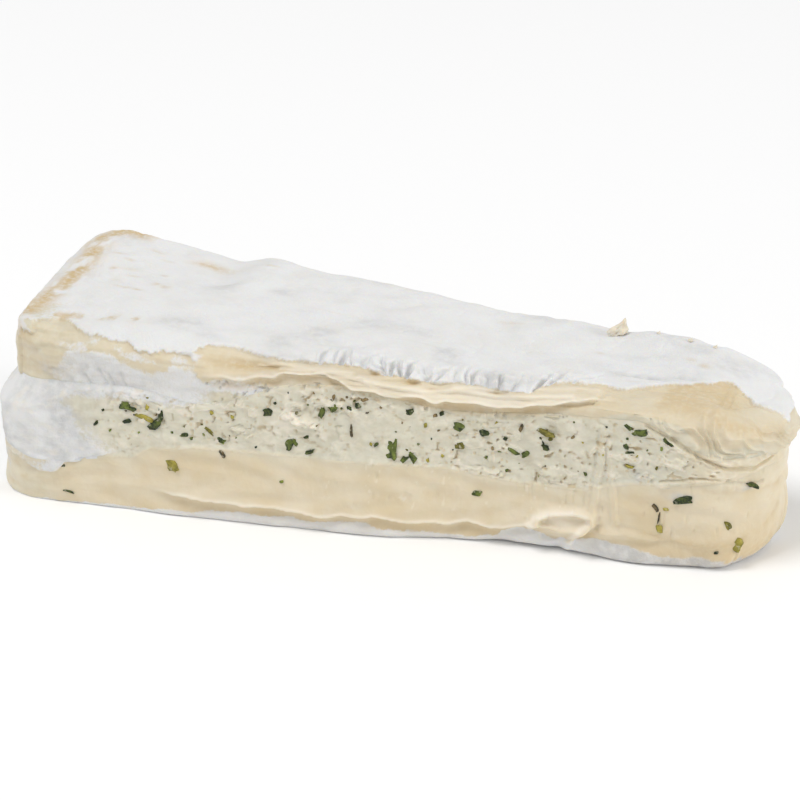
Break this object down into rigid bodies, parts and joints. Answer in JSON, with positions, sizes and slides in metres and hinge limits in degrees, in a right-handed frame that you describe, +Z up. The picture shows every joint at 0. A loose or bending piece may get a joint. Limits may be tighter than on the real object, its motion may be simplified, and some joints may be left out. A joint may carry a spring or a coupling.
{
  "type": "stuffed brie slice",
  "caption": "Long slice of stuffed brie lying on its rind, with a layer of herbed fresh cheese between two halves.",
  "frame": {"origin": "middle of the underside of the slice's box, on the surface it lies on", "axes": "+X along the slice from the wheel's rim to the nose, +Y from the front cut to the back cut, +Z up"},
  "size_m": [0.1712, 0.0612, 0.0412],
  "materials": {
    "rind": "matt white mould bloom over cream paste",
    "filling": "matt, crumbly fresh cheese with herbs",
    "paste": "satin, soft ripened paste"
  },
  "bodies": {
    "root": {"brie_bottom": "paste", "herb_filling": "filling", "brie_top": "rind"}
  },
  "joints": []
}
